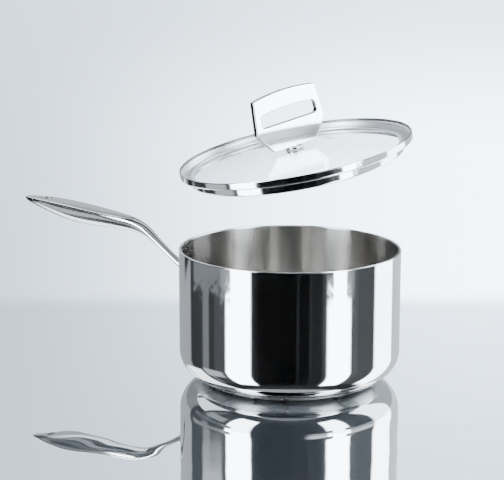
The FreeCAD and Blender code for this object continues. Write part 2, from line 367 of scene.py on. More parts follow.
def turning_tree():
    tree = bpy.data.node_groups.new("turning", "GeometryNodeTree")
    sockets = {}
    for name, kind in (("Outline", "Geometry"), ("Turning radius", "Float"),
                       ("Steps round", "Int"), ("Finish", "Material")):
        made = tree.interface.new_socket(name, in_out="INPUT", socket_type="NodeSocket" + kind)
        sockets[name] = made.identifier
    tree.interface.new_socket("Piece", in_out="OUTPUT", socket_type="NodeSocketGeometry")
    given = put(tree, "NodeGroupInput").outputs
    circle = put(tree, "GeometryNodeCurvePrimitiveCircle", {
        "Resolution": given["Steps round"], "Radius": given["Turning radius"]}, mode="RADIUS")
    upright = put(tree, "GeometryNodeSetCurveNormal", {"Curve": circle.outputs["Curve"]},
                  mode="Z_UP")
    swept = put(tree, "GeometryNodeCurveToMesh", {
        "Curve": upright.outputs["Curve"], "Profile Curve": given["Outline"]})
    merged = put(tree, "GeometryNodeMergeByDistance", {
        "Geometry": swept.outputs["Mesh"], "Distance": 0.004 * MM})
    real = put(tree, "GeometryNodeRealizeInstances", {"Geometry": merged.outputs["Geometry"]})
    finished = put(tree, "GeometryNodeSetMaterial", {
        "Geometry": real.outputs["Geometry"], "Material": given["Finish"]})
    put(tree, "NodeGroupOutput", {"Piece": finished.outputs["Geometry"]})
    return tree, sockets


turning, turning_inputs = turning_tree()
turning_radius = pan_high.x

# %% [markdown]
# ## Finishing a mesh
# Every piece ends the same way: doubles merged, normals turned outwards, smooth shading
# with only the real edges sharp, and the level coordinates kept. Then it is carried to
# its place, so its object can stay at the origin, and it rides on its body.

# %% Make objects and meshes


def add_object(name, data):
    thing = bpy.data.objects.new(name, data)
    bpy.context.scene.collection.objects.link(thing)
    return thing


def applied(thing):
    """Mesh of an object with its modifiers applied."""
    ready = bpy.context.evaluated_depsgraph_get()
    return bpy.data.meshes.new_from_object(thing.evaluated_get(ready), depsgraph=ready)


def mesh_from(name, work):
    """Mesh of a finished bmesh."""
    mesh = bpy.data.meshes.new(name)
    work.to_mesh(mesh)
    work.free()
    return mesh


# %% Finish a mesh


def axis_facing(face):
    """How squarely a face looks at the pan's axis: -1 straight at it, 1 straight away."""
    reach = math.hypot(face.center.x, face.center.y)
    return (face.normal.x * face.center.x + face.normal.y * face.center.y) / max(reach, 1e-9)


def finish_mesh(mesh, sharp_angle=38.0):
    work = bmesh.new()
    work.from_mesh(mesh)
    bmesh.ops.remove_doubles(work, verts=work.verts, dist=0.003 * MM)
    bmesh.ops.dissolve_degenerate(work, edges=work.edges, dist=0.001 * MM)
    bmesh.ops.recalc_face_normals(work, faces=work.faces)
    layer = work.loops.layers.uv.new("turned")
    for face in work.faces:
        middle = face.calc_center_median()
        middle_angle = math.atan2(middle.y, middle.x)
        for loop in face.loops:
            p = loop.vert.co
            angle = math.atan2(p.y, p.x)
            angle += math.tau * round((middle_angle - angle) / math.tau)
            loop[layer].uv = ((math.hypot(p.x, p.y) + p.z) * 4, angle / math.tau)
    work.to_mesh(mesh)
    work.free()
    mesh.shade_smooth()
    mesh.set_sharp_from_angle(angle=math.radians(sharp_angle))
    kept = mesh.attributes.new("place", "FLOAT_VECTOR", "POINT")
    flat = np.empty(len(mesh.vertices) * 3, np.float32)
    mesh.vertices.foreach_get("co", flat)
    kept.data.foreach_set("vector", flat)


# %% Settle a piece


def settle(name, mesh, carry, body, *nodes, slot="polished_steel"):
    """Carry a finished mesh to its place and tie it to its body."""
    mesh.transform(carry)
    piece = add_object(name, mesh)
    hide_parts(*nodes)
    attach(piece, body)
    print(name, len(mesh.polygons), "faces")


# %% Turn an outline


def turn(outline, closed, finish, steps_round=256):
    """Mesh of an outline, in (radius, height) points, turned about the axis."""
    curve = bpy.data.curves.new("outline", "CURVE")
    curve.dimensions = "3D"
    line = curve.splines.new("POLY")
    line.points.add(len(outline) - 1)
    for point, (radius, height) in zip(line.points, outline):
        point.co = (radius - turning_radius, -height, 0, 1)
    line.use_cyclic_u = closed
    blank = add_object("outline", curve)
    modifier = blank.modifiers.new("turning", "NODES")
    modifier.node_group = turning
    modifier[turning_inputs["Turning radius"]] = turning_radius
    modifier[turning_inputs["Steps round"]] = steps_round
    modifier[turning_inputs["Finish"]] = finish
    mesh = applied(blank)
    bpy.data.objects.remove(blank)
    finish_mesh(mesh)
    return mesh


# %% [markdown]
# ## The pan
# A deep-drawn cup: flat floor, a round bend, a straight wall and a mouth whose two edges
# are polished round. It is turned in one closed outline, so the wall has its real
# thickness at the mouth. Outside it is mirror polished; inside it is left satin, with
# brush lines that run round the wall, and its colour is painted darker as the shade inside
# the cup. The faces are sorted into the two finishes by which way they look: away from the
# middle of the cup, or towards it.

# %% Turn the pan
wall = 2.0 * MM
bend = 20.0 * MM
mouth_round = 0.7 * MM
pan_radius = pan_high.x
inner_radius = pan_radius - wall
floor_top = pan_low.z + wall
pan_outline = rounded([
    (0, pan_low.z, 0),
    (pan_radius, pan_low.z, bend),
    (pan_radius, pan_high.z, mouth_round),
    (inner_radius, pan_high.z, mouth_round),
    (inner_radius, floor_top, bend - wall),
    (0, floor_top, 0),
], closed=False, steps=14)
pan_mesh = turn(pan_outline, False, pan_polish)
pan_mesh.materials.append(pan_satin_painted_shade)

# %% Sort the pan's faces into polished and satin with painted shade
wall_middle = pan_radius - wall / 2
floor_middle = floor_top - wall / 2
satin_top = pan_high.z - mouth_round
for face in pan_mesh.polygons:
    reach = math.hypot(face.center.x, face.center.y)
    inside = reach < wall_middle and floor_middle < face.center.z < satin_top
    inwards = axis_facing(face) < -1e-4 or face.normal.z > 0.5
    face.material_index = int(inside and inwards)
settle("pan_shell", pan_mesh, level, "pan", "pan_body")

# %% [markdown]
# ## The base
# A steel cap holds the heat-spreading disc under the floor. Its thick edge is one wide
# round that carries the line of the wall under the pan, and its foot is turned on a lathe,
# which leaves fine open rings. The round is a quarter circle drawn from the table up to
# the cap's top edge, which stops in a thin ledge against the bend of the pan.

# %% Turn the base cap
cap_sheet = 0.8 * MM
cap_top = 5.2 * MM
sweep = 26.0 * MM
sweep_steps = 24
ledge_width = 1.2 * MM
core_edge = 58.1 * MM
above_core = 0.3 * MM
foot_radius = pan_radius - sweep
top_angle = math.acos((sweep - cap_top) / sweep)
cap_outline = [(0, 0), (foot_radius - 2 * MM, 0)]
for k in range(sweep_steps + 1):
    angle = top_angle * k / sweep_steps
    cap_outline.append((foot_radius + sweep * math.sin(angle),
                        sweep * (1 - math.cos(angle))))
ledge = cap_outline[-1][0]
cap_outline += [(ledge - ledge_width, cap_top), (core_edge, pan_low.z + above_core),
                (core_edge, cap_sheet), (0, cap_sheet)]
cap_mesh = turn(cap_outline, False, base_turned)
settle("base_cap_turned", cap_mesh, level, "pan", "base_cap", slot="base_steel")
print("cap edge meets the pan at radius", round(ledge / MM, 1), "mm")

# %% [markdown]
# ## The handle
# A solid stainless casting: wide foot on the wall, a thin waist that climbs away, and a
# long grip with a nearly flat crowned top over a full rounded belly. The two meet in a
# softened crease. It is a row of sections along the crease line. A smooth curve is run
# through each of the stations' measures, so the sides have no kinks, and the row is
# mirrored past the tip, which makes the end perfectly round.

# %% Measures of the handle
foot_height = pan_high.z - 36 * MM
stations = [
    # reach, rise, half width, crown, belly (mm) and slope (degrees)
    (-4.0, 0.0, 13.5, 8.0, 8.5, 4.0),
    (2.0, 0.6, 12.0, 7.0, 7.4, 8.0),
    (9.0, 2.4, 8.2, 4.6, 5.2, 16.0),
    (17.0, 5.8, 5.0, 2.6, 4.0, 24.0),
    (27.0, 10.6, 3.9, 1.8, 3.6, 30.0),
    (39.0, 18.0, 3.6, 1.6, 3.7, 34.0),
    (50.0, 25.6, 3.9, 1.6, 4.6, 34.0),
    (59.0, 31.6, 4.7, 1.7, 6.5, 27.0),
    (70.0, 36.1, 5.8, 1.6, 8.4, 15.0),
    (84.0, 38.5, 7.4, 1.4, 10.1, 6.0),
    (100.0, 39.8, 9.0, 1.2, 11.5, 4.0),
    (118.0, 41.1, 10.0, 1.1, 13.3, 4.0),
    (136.0, 42.2, 10.3, 1.1, 13.8, 3.2),
    (153.0, 43.0, 9.9, 1.0, 12.3, 2.0),
    (167.0, 43.3, 8.9, 1.0, 9.8, 0.8),
    (178.5, 43.3, 7.3, 0.9, 7.2, 0.0),
    (187.5, 43.2, 5.2, 0.7, 4.8, -1.0),
    (192.8, 42.9, 2.8, 0.5, 2.5, -3.0),
    (194.8, 42.6, 0.0, 0.0, 0.0, -4.0),
]


# %% Run a smooth curve through the measures


def smooth_through(knots, values, at):
    """Natural cubic curve through values at knots."""
    gaps = np.diff(knots)
    count = len(knots)
    system = np.eye(count)
    target = np.zeros(count)
    for i in range(1, count - 1):
        system[i, i - 1:i + 2] = gaps[i - 1], 2 * (gaps[i - 1] + gaps[i]), gaps[i]
        rise_after = (values[i + 1] - values[i]) / gaps[i]
        rise_before = (values[i] - values[i - 1]) / gaps[i - 1]
        target[i] = 6 * (rise_after - rise_before)
    bends = np.linalg.solve(system, target)
    i = np.clip(np.searchsorted(knots, at) - 1, 0, count - 2)
    gap = gaps[i]
    a = (knots[i + 1] - at) / gap
    b = (at - knots[i]) / gap
    return (a * values[i] + b * values[i + 1]
            + ((a**3 - a) * bends[i] + (b**3 - b) * bends[i + 1]) * gap**2 / 6)


measures = np.array(stations)
back_again = measures[-2::-1] * (1, 1, -1, -1, -1, 1)
measures = np.vstack([measures, back_again[:4]])
run = np.concatenate([[0], np.cumsum(np.linalg.norm(np.diff(measures[:, :3], axis=0), axis=1))])
tip_run = run[len(stations) - 1]


def handle_measures(at):
    return np.array([smooth_through(run, measures[:, k], at) for k in range(6)]).T


print("handle runs", round(float(tip_run), 1), "mm along its crease")

# %% [markdown]
# ## Sections of the handle
# Each section is two Bezier arcs: a low crown above and a full belly below. Where they
# meet, a short curve replaces the sharp corner, as polishing does.

# %% Draw a section


def bezier(poles, t):
    s = 1 - t
    return (np.outer(s**3, poles[0]) + np.outer(3 * s * s * t, poles[1])
            + np.outer(3 * s * t * t, poles[2]) + np.outer(t**3, poles[3]))


def section(half_width, crown, belly, crease=0.9):
    """Closed ring of (sideways, upwards) points in mm, from the left crease over the top."""
    half_width, crown, belly = (max(v, 1e-3) for v in (half_width, crown, belly))
    ease = min(crease, 0.3 * half_width, 0.3 * belly)
    over = np.array([(-half_width, 0), (-half_width / 2, crown * 4 / 3),
                     (half_width / 2, crown * 4 / 3), (half_width, 0)])
    under = np.array([(half_width, 0), (half_width, -belly * 4 / 3),
                      (-half_width, -belly * 4 / 3), (-half_width, 0)])
    over_cut = ease / (3 * np.linalg.norm(over[1] - over[0]))
    under_cut = ease / (4 * belly)
    top = bezier(over, np.linspace(over_cut, 1 - over_cut, 21))
    low = bezier(under, np.linspace(under_cut, 1 - under_cut, 33))
    t = np.linspace(0, 1, 11)[1:-1, None]
    right = (1 - t)**2 * top[-1] + 2 * t * (1 - t) * over[3] + t**2 * low[0]
    left = (1 - t)**2 * low[-1] + 2 * t * (1 - t) * over[0] + t**2 * top[0]
    return np.vstack([top, right, low, left])


def place_section(row, ring):
    """Put a section's points (mm) where its station stands, in metres."""
    reach, rise, _, _, _, slope = row
    angle = math.radians(slope)
    x = -(pan_radius / MM + reach) + ring[:, 1] * math.sin(angle)
    z = foot_height / MM + rise + ring[:, 1] * math.cos(angle)
    return np.column_stack([x, ring[:, 0], z]) * MM


def skin_over(work, near, far):
    """Quads between two loops of vertices."""
    for k in range(len(near)):
        nxt = (k + 1) % len(near)
        work.faces.new((near[k], near[nxt], far[nxt], far[k]))


# %% [markdown]
# ## Casting the handle
# The sections are joined into one skin with a closed end inside the pan's wall. They stand
# closer together near the tip, where the end rounds off quickly.

# %% Join the sections (lengths in mm)
root_reach = -1.3
section_gap = 0.6
tip_zone, tip_sections = 5, 22
root_run = float(np.interp(root_reach, measures[:2, 0], run[:2]))
spots = np.concatenate([np.arange(root_run, tip_run - tip_zone, section_gap),
                        np.linspace(tip_run - tip_zone, tip_run, tip_sections)])
rows = handle_measures(spots)
skin = bmesh.new()
loops = []
for row in rows[:-1]:
    ring = place_section(row, section(*row[2:5]))
    loops.append([skin.verts.new(p) for p in ring])
tip = skin.verts.new(place_section(rows[-1], np.zeros((1, 2)))[0])
for low_loop, high_loop in zip(loops, loops[1:]):
    skin_over(skin, low_loop, high_loop)
for k in range(len(loops[-1])):
    skin.faces.new((loops[-1][k], loops[-1][(k + 1) % len(loops[-1])], tip))
skin.faces.new(loops[0])
bmesh.ops.recalc_face_normals(skin, faces=skin.faces)
bar = add_object("handle_bar", mesh_from("handle_bar", skin))
print("sections:", len(rows))

# %% [markdown]
# ## The hanging hole
# It is drilled straight down through the grip. A Boolean modifier does the same: it takes
# a round bar away from the casting.

# %% Bore the hanging hole
tip_x = -(pan_radius + stations[-1][0] * MM)
hole_radius = 5.0 * MM
hole_from_tip = 24.5 * MM
grip_height = foot_height + 40 * MM
hole_place = Vector((tip_x + hole_from_tip, 0, grip_height))
bore = bmesh.new()
bmesh.ops.create_cone(bore, cap_ends=True, segments=96, radius1=hole_radius,
                      radius2=hole_radius, depth=40 * MM,
                      matrix=Matrix.Translation(hole_place))
borer = add_object("handle_bore", mesh_from("handle_bore", bore))
drill = bar.modifiers.new("bore", "BOOLEAN")
drill.object = borer
drill.operation = "DIFFERENCE"
drill.solver = "EXACT"
handle_mesh = applied(bar)
for used in (bar, borer):
    bpy.data.objects.remove(used)
print("handle", len(handle_mesh.polygons), "faces")

# %% [markdown]
# ## Softening the hole
# The bore meets the top and the belly in two thin rings of edges, knife sharp as drilled.
# Those edges are found by their distance from the bore's line and by how sharply their
# faces meet, and are bevelled a little. The wall of the bore keeps its satin, and its
# colour is painted dark as the shade inside the hole.

# %% Soften the rim of the bore
edge_work = bmesh.new()
edge_work.from_mesh(handle_mesh)
bmesh.ops.remove_doubles(edge_work, verts=edge_work.verts, dist=0.01 * MM)
lip = []
for edge in edge_work.edges:
    middle = (edge.verts[0].co + edge.verts[1].co) / 2 - hole_place
    off = math.hypot(middle.x, middle.y) - hole_radius
    if abs(off) < 0.05 * MM and len(edge.link_faces) == 2 and edge.calc_face_angle() > 0.6:
        lip.append(edge)
bmesh.ops.bevel(edge_work, geom=lip, offset=0.12 * MM, offset_type="OFFSET", segments=3,
                profile=0.5, affect="EDGES", clamp_overlap=True)
edge_work.to_mesh(handle_mesh)
edge_work.free()
finish_mesh(handle_mesh, 60.0)
print("bevelled edges:", len(lip))

# %% Give the handle its finishes
handle_mesh.materials.clear()
handle_mesh.materials.append(cast_polish)
handle_mesh.materials.append(bore_satin_painted_shade)
# The bore's wall takes the finish with painted shade: a dark colour for the shade inside the
# hole.
for face in handle_mesh.polygons:
    off_axis = face.center - hole_place
    face.material_index = int(math.hypot(off_axis.x, off_axis.y) < hole_radius + 0.06 * MM)
settle("handle_casting", handle_mesh, level, "pan", "handle")

# %% [markdown]
# ## The weld
# The foot is welded to the wall all round and the bead is polished to a hollow fillet. It
# is a ring that follows the foot's section, with a quarter-round hollow between casting
# and wall, and it bends with the round wall.

# %% Build the weld
weld_leg = 1.8
sunk = 0.12
hollow = np.linspace(0, np.pi / 2, 13)
fillet = [(weld_leg * (1 - math.sin(a)) - sunk, weld_leg * (1 - math.cos(a)) - sunk)
          for a in hollow]
fillet.append((-0.5, -0.4))
weld_rows = handle_measures(np.interp([a for a, _ in fillet], measures[:3, 0], run[:3]))
bead = bmesh.new()
bead_loops = []
for (away, out), row in zip(fillet, weld_rows):
    ring = section(*row[2:5])
    ahead = np.roll(ring, -1, axis=0) - np.roll(ring, 1, axis=0)
    outward = np.column_stack([-ahead[:, 1], ahead[:, 0]])
    outward /= np.linalg.norm(outward, axis=1)[:, None]
    placed = place_section(row, ring + outward * out)
    placed[:, 0] = -np.sqrt((pan_radius + away * MM)**2 - placed[:, 1]**2)
    bead_loops.append([bead.verts.new(p) for p in placed])
for loop, following in zip(bead_loops, bead_loops[1:] + bead_loops[:1]):
    skin_over(bead, loop, following)
weld_mesh = mesh_from("weld", bead)
weld_mesh.materials.append(weld_polish)
finish_mesh(weld_mesh)
settle("handle_weld_bead", weld_mesh, level, "pan", "handle_weld")

# %% [markdown]
# ## The lid's ring
# One strip of sheet, rolled: a standing band with its top edge folded over, a flange that
# rests on the pan's mouth, a skirt that drops inside it and a foot turned in under the
# glass. It is turned as one closed outline. The outside is polished. The hollow behind
# the band is satin, and the inner face of the fold is painted near black as the shade in
# the crevice of the fold, so each face takes its finish from where it lies and which way
# it looks.

# %% Turn the ring
sheet = 0.7 * MM
ring_bend = 1.2 * MM
band_top = 5.3 * MM
ring_radius = pan_radius + 4.0 * MM
ring_inner = ring_radius - sheet
hem_inner = ring_radius - 1.2 * MM
hem_bottom = band_top - 2.0 * MM
skirt_outer = inner_radius - 1.2 * MM
skirt_inner = skirt_outer - sheet
lip_inner = skirt_inner - 1.8 * MM
skirt_depth = 6.7 * MM
lip_top = sheet - skirt_depth
ring_mesh = turn(rounded([
    (ring_radius, 0, ring_bend),
    (ring_radius, band_top, 0.59 * MM),
    (hem_inner, band_top, 0.59 * MM),
    (hem_inner, hem_bottom, sheet / 3),
    (ring_inner, hem_bottom - sheet, 0),
    (ring_inner, sheet, ring_bend - sheet / 2),
    (skirt_inner, sheet, ring_bend),
    (skirt_inner, lip_top, 0),
    (lip_inner, lip_top, 0),
    (lip_inner, -skirt_depth, sheet / 3),
    (skirt_outer, -skirt_depth, ring_bend),
    (skirt_outer, 0, sheet / 2),
], closed=True, hold=0.12 * MM), True, ring_polish, 320)

# %% Sort the ring's faces into their finishes
POLISHED, SATIN, PAINTED_SHADE = range(3)
ring_mesh.materials.append(inner_satin)
ring_mesh.materials.append(fold_painted_shade)
fold_low = hem_bottom + 0.2 * MM
fold_inner = hem_inner + 0.2 * MM
for face in ring_mesh.polygons:
    reach = math.hypot(face.center.x, face.center.y)
    inwards, upwards = axis_facing(face) < -0.5, face.normal.z > 0.5
    if face.center.z < fold_low:
        hollow_side = reach > skirt_inner - sheet / 2 and (inwards or upwards)
        face.material_index = SATIN if hollow_side else POLISHED
    # Painted shade: inward faces inside the fold get the near-black colour of the crevice's
    # shade.
    elif inwards and reach < fold_inner:
        face.material_index = PAINTED_SHADE
settle("lid_ring_rolled", ring_mesh, hang, "lid", "lid_ring")

# %% [markdown]
# ## The pane
# A sagged disc of toughened glass: a flat ground edge that the seal grips, and a shallow
# dome between. The dome is a parabola in the radius. The hole for the screw is in the
# middle.

# %% Turn the pane
seal_web = 0.6 * MM
glass_radius = skirt_inner - seal_web
glass_bottom = lip_top + 1.3 * MM
glass_thickness = 4.0 * MM
glass_top = glass_bottom + glass_thickness
seal_inner = glass_radius - 1.6 * MM
dome_radius = seal_inner - 0.4 * MM
dome_height = 6.4 * MM
glass_hole = 4.0 * MM


def dome(radius):
    return dome_height * (1 - (radius / dome_radius)**2)


arch = [glass_hole + (dome_radius - glass_hole) * k / 28 for k in range(29)]
pane_outline = [(r, glass_top + dome(r), 0) for r in arch]
pane_outline += [(glass_radius, glass_top, 1.2 * MM), (glass_radius, glass_bottom, 1.2 * MM)]
pane_outline += [(r, glass_bottom + dome(r), 0) for r in reversed(arch)]
pane_mesh = turn(rounded(pane_outline, closed=True), True, glass, 320)
settle("lid_pane", pane_mesh, hang, "lid", "lid_glass", slot="clear_glass")

# %% [markdown]
# ## The seal
# A silicone channel wraps the edge of the pane and fills the ring. It stands a hair off
# the glass: two see-through surfaces in exactly the same place can't both be drawn.

# %% Turn the seal
off = 0.03 * MM
seal_low = lip_top + off
seal_high = glass_top + 0.5 * MM
seal_mesh = turn(rounded([
    (skirt_inner - off, seal_low, 0),
    (skirt_inner - off, seal_high, 0.25 * MM),
    (seal_inner, seal_high, 0.2 * MM),
    (seal_inner, glass_top + off, 0),
    (glass_radius + off, glass_top + off, 1.2 * MM),
    (glass_radius + off, glass_bottom - off, 1.2 * MM),
    (seal_inner, glass_bottom - off, 0),
    (seal_inner, seal_low, 0.25 * MM),
], closed=True, hold=0.1 * MM), True, clear_silicone, 320)
settle("lid_seal_moulded", seal_mesh, hang, "lid", "lid_seal", slot="clear_silicone")

# %% [markdown]
# ## The spacer
# A small steel disc between the pane's upper washer and the handle spreads the screw's
# pull.

# %% Turn the spacer
washer_top = glass_top + dome(glass_hole) + 0.7 * MM
spacer_radius = 6.0 * MM
spacer_height = 1.4 * MM
screw_hole = 2.1 * MM
spacer_mesh = turn(rounded([
    (spacer_radius, washer_top, 0.25 * MM),
    (spacer_radius, washer_top + spacer_height, 0.25 * MM),
    (screw_hole, washer_top + spacer_height, 0),
    (screw_hole, washer_top, 0),
], closed=True, hold=0.1 * MM), True, ring_polish, 96)
settle("lid_spacer_turned", spacer_mesh, hang, "lid", "lid_spacer")

# %% [markdown]
# ## The lid's handle
# A thick plate cut to a six-sided outline with an arched top and an arched slot for the
# fingers. Its edges are rounded all round by polishing. The plate is built in layers: the
# outline is drawn in by a quarter circle towards each face, and the slot's outline is
# drawn out in the same way. It stands on one screw, a little off square.

# %% Outlines of the plate
tab_thickness = 5.6 * MM


def arched(points, rise, steps=20):
    """Corners (x, z, round) with an arch from the last point back to the first."""
    (x1, z1, _), (x0, z0, _) = points[0], points[-1]
    width = x1 - x0
    radius = (width**2 / 4 + rise**2) / (2 * rise)
    clear = 1.5 * points[0][2]
    spot = [x0 + clear + (width - 2 * clear) * k / steps for k in range(steps + 1)]
    crest = z1 + rise - radius
    middle = (x0 + x1) / 2
    return points + [(x, crest + math.sqrt(radius**2 - (x - middle)**2), 0) for x in spot]


def six_sided(widths, heights, corner):
    top, wide, foot = (w / 2 * MM for w in widths)
    low, high = (h * MM for h in heights)
    half = [(foot, 0, corner), (wide, low, corner), (top, high, corner)]
    return half[::-1] + [(-x, z, r) for x, z, r in half]


plate_corners = six_sided((51.5, 56.5, 34.5), (14.7, 39.9), 1.2 * MM)
plate_line = rounded(arched(plate_corners, 2.6 * MM), closed=True, hold=0.3 * MM)
slot_top, slot_low = 28.9 * MM, 19.0 * MM
slot_round = 3.0 * MM
slot_corners = [(44.5 / 2 * MM, slot_top, slot_round), (46.0 / 2 * MM, slot_low, slot_round),
                (-46.0 / 2 * MM, slot_low, slot_round), (-44.5 / 2 * MM, slot_top, slot_round)]
slot_line = rounded(arched(slot_corners, 1.7 * MM), closed=True, hold=0.3 * MM)
print("plate outline", len(plate_line), "slot outline", len(slot_line))

# %% Build the plate


def drawn(line, by):
    """The outline moved inwards by a distance, along the bisector at each point."""
    points = np.array(line)
    before = points - np.roll(points, 1, axis=0)
    after = np.roll(points, -1, axis=0) - points
    before /= np.linalg.norm(before, axis=1)[:, None]
    after /= np.linalg.norm(after, axis=1)[:, None]
    ways = np.column_stack([-(before + after)[:, 1], (before + after)[:, 0]])
    ways /= np.linalg.norm(ways, axis=1)[:, None]
    lean = ways[:, 0] * -before[:, 1] + ways[:, 1] * before[:, 0]
    area = np.sum(points[:, 0] * np.roll(points[:, 1], -1)
                  - points[:, 1] * np.roll(points[:, 0], -1))
    return points + ways * (by * math.copysign(1, area) / lean)[:, None]


def layers(work, line, edge_round, sign):
    """Loops of vertices across the plate's thickness, rounded at both faces."""
    half = tab_thickness / 2
    turns = np.linspace(0, np.pi / 2, 6)
    cross = [(edge_round + 0.25 * MM, -half)]
    cross += [(edge_round * (1 - math.sin(a)), -half + edge_round * (1 - math.cos(a)))
              for a in turns]
    cross += [(inset, -depth) for inset, depth in reversed(cross)]
    made = []
    for inset, depth in cross:
        made.append([work.verts.new((x, depth, z)) for x, z in drawn(line, inset * sign)])
    for near, far in zip(made, made[1:]):
        skin_over(work, near, far)
    return made


plate = bmesh.new()
outer = layers(plate, plate_line, 0.7 * MM, 1)
inner = layers(plate, slot_line, 0.5 * MM, -1)
for side in (0, -1):
    rim = []
    for loop in (outer[side], inner[side]):
        for k in range(len(loop)):
            rim.append(plate.edges.get((loop[k], loop[(k + 1) % len(loop)])))
    bmesh.ops.triangle_fill(plate, use_beauty=True, use_dissolve=False, edges=rim)
tab_mesh = mesh_from("tab", plate)
tab_mesh.materials.append(tab_polish)
finish_mesh(tab_mesh)

# %% Stand the plate on the spacer
tab_lean = math.radians(2.5)
tab_turn = math.radians(64.0)
tab_foot = washer_top + spacer_height + spacer_radius * math.sin(tab_lean)
stand = (Matrix.Translation((0, 0, tab_foot)) @ Matrix.Rotation(tab_turn, 4, "Z")
         @ Matrix.Rotation(-tab_lean, 4, "Y"))
settle("lid_handle_plate", tab_mesh, hang @ stand, "lid", "lid_handle")

# %% [markdown]
# ## Finishes on the carried-over pieces
# The rest keep their CAD meshes. Each of their material slots gets its finish.

# %% Dress the carried-over pieces
dress = {
    "base_core_disc": copper,
    "upper_silicone_washer": grey_silicone,
    "lower_silicone_washer": grey_silicone,
    "plate_washer": screw_steel,
    "spring_washer": screw_steel,
    "lid_screw": screw_steel,
}
for node, finish in dress.items():
    mesh = frame["nodes"][node].data
    if not mesh.materials:
        mesh.materials.append(finish)
    for i in range(len(mesh.materials)):
        mesh.materials[i] = finish
print("dressed", len(dress), "carried-over pieces")

# %% [markdown]
# ## The table
# A plain sheet of plate glass that mirrors the pan. It runs far past the camera, and
# stops a short way behind the pan. It is laid square to the way the camera looks.

# %% Lay the table
view_turn = math.radians(38.0)
towards = Vector((math.sin(view_turn), -math.cos(view_turn), 0))
rightwards = Vector((math.cos(view_turn), math.sin(view_turn), 0))
table_back, table_front, table_side, table_thick = -0.266, 6.0, 6.0, 0.012
corners = []
for z in (0, -table_thick):
    for side, near in ((-1, table_back), (1, table_back), (1, table_front), (-1, table_front)):
        corner = rightwards * side * table_side + towards * near
        corners.append((corner.x, corner.y, z))
table_mesh = bpy.data.meshes.new("table")
table_mesh.from_pydata(corners, [], [
    (3, 2, 1, 0), (4, 5, 6, 7), (0, 1, 5, 4), (1, 2, 6, 5), (2, 3, 7, 6), (3, 0, 4, 7)])
add_object("table", table_mesh)
print("table", 2 * table_side, "m wide and", table_front - table_back, "m deep")

# %% [markdown]
# ## The table's finish
# It is mostly reflection. A trace of pale body colour shows only where the table is looked
# at directly: in the steel it would otherwise lift every dark reflection to grey. Plate
# glass ripples slightly, and the ripple starts a little away from the pan, so the line
# where pan and table meet stays clean. At the back the table fades into the wall.

# %% Finish the table
ripple_depth = 0.2 * MM
calm_radius, ripple_radius = 0.09, 0.2
calm_ripple = 0.15
fade_length = 0.07
gloss, tree, unused = new_finish("table_gloss")
tree.nodes.remove(unused)
spot = put(tree, "ShaderNodeTexCoord").outputs["Object"]
from_axis = vectors(tree, "LENGTH", spot)
depth = spread(tree, from_axis, calm_radius, ripple_radius, calm_ripple, 1.0, smooth=True)
ripple = sums(tree, "MULTIPLY", noise(tree, spot, 22.0, detail=1.0), depth)
sheen = put(tree, "ShaderNodeBsdfGlossy", {"Color": (0.5, 0.51, 0.52, 1), "Roughness": 0.0,
                                           "Normal": bumped(tree, ripple, ripple_depth)})
body_colour = put(tree, "ShaderNodeBsdfDiffuse", {"Color": (0.014, 0.0146, 0.0152, 1)})
looked_at = put(tree, "ShaderNodeLightPath").outputs["Is Camera Ray"]
black = put(tree, "ShaderNodeBsdfDiffuse", {"Color": (0, 0, 0, 1)})
seen_body = put(tree, "ShaderNodeMixShader", {0: looked_at, 1: black.outputs[0],
                                              2: body_colour.outputs[0]})
both = put(tree, "ShaderNodeAddShader", {0: sheen.outputs[0], 1: seen_body.outputs[0]})
nearness = vectors(tree, "DOT_PRODUCT", spot, towards)
fade = spread(tree, nearness, table_back, table_back + fade_length, 1, 0, smooth=True)
nothing = put(tree, "ShaderNodeBsdfTransparent").outputs[0]
faded = put(tree, "ShaderNodeMixShader", {0: fade, 1: both.outputs[0], 2: nothing})
feed(tree.nodes["Material Output"], {"Surface": faded.outputs[0]})
table_mesh.materials.append(gloss)

# %% [markdown]
# ## The camera
# It looks down on the pan by about twelve degrees, with the handle to the left and
# pointing slightly away.

# %% Place the camera
camera = add_object("camera", bpy.data.cameras.new("camera"))
camera.location = (0.6814, -0.9175, 0.35127)
camera.rotation_euler = (math.radians(77.813), 0, view_turn)
camera.data.lens = 113.18
camera.data.sensor_width = 36.0
bpy.context.scene.camera = camera
print("camera", round(camera.location.length, 2), "m from the foot of the pan")

# %% [markdown]
# ## The studio
# Polished steel shows nothing but its surroundings, so the look of the pan is the look of
# the studio: two tall white softboxes in front, a wide black flag between them, grey
# flags at the sides and a pale wall behind. Real cards would stand in the view, so these
# are painted on the world. Two measures place them: the bearing in degrees, which is
# nought on the camera's side of the pan and grows to its right, and the height, which is
# the upward part of the direction: nought at the horizon and one straight up.

# %% Directions round the pan
world = bpy.data.worlds.new("studio")
bpy.context.scene.world = world
world.use_nodes = True
world.cycles.sampling_method = "NONE"
tree = world.node_tree
background = tree.nodes["Background"]
way = put(tree, "ShaderNodeTexCoord").outputs["Generated"]
front = vectors(tree, "DOT_PRODUCT", way, towards)
right = vectors(tree, "DOT_PRODUCT", way, rightwards)
height = put(tree, "ShaderNodeSeparateXYZ", {"Vector": way}).outputs["Z"]
bearing = sums(tree, "MULTIPLY", sums(tree, "ARCTAN2", right, front), 180 / math.pi)


def window(value, low, high, soft):
    """One between low and high, nothing outside."""
    opens = spread(tree, value, low - soft / 2, low + soft / 2, 0, 1, smooth=True)
    closes = spread(tree, value, high - soft / 2, high + soft / 2, 1, 0, smooth=True)
    return sums(tree, "MULTIPLY", opens, closes)


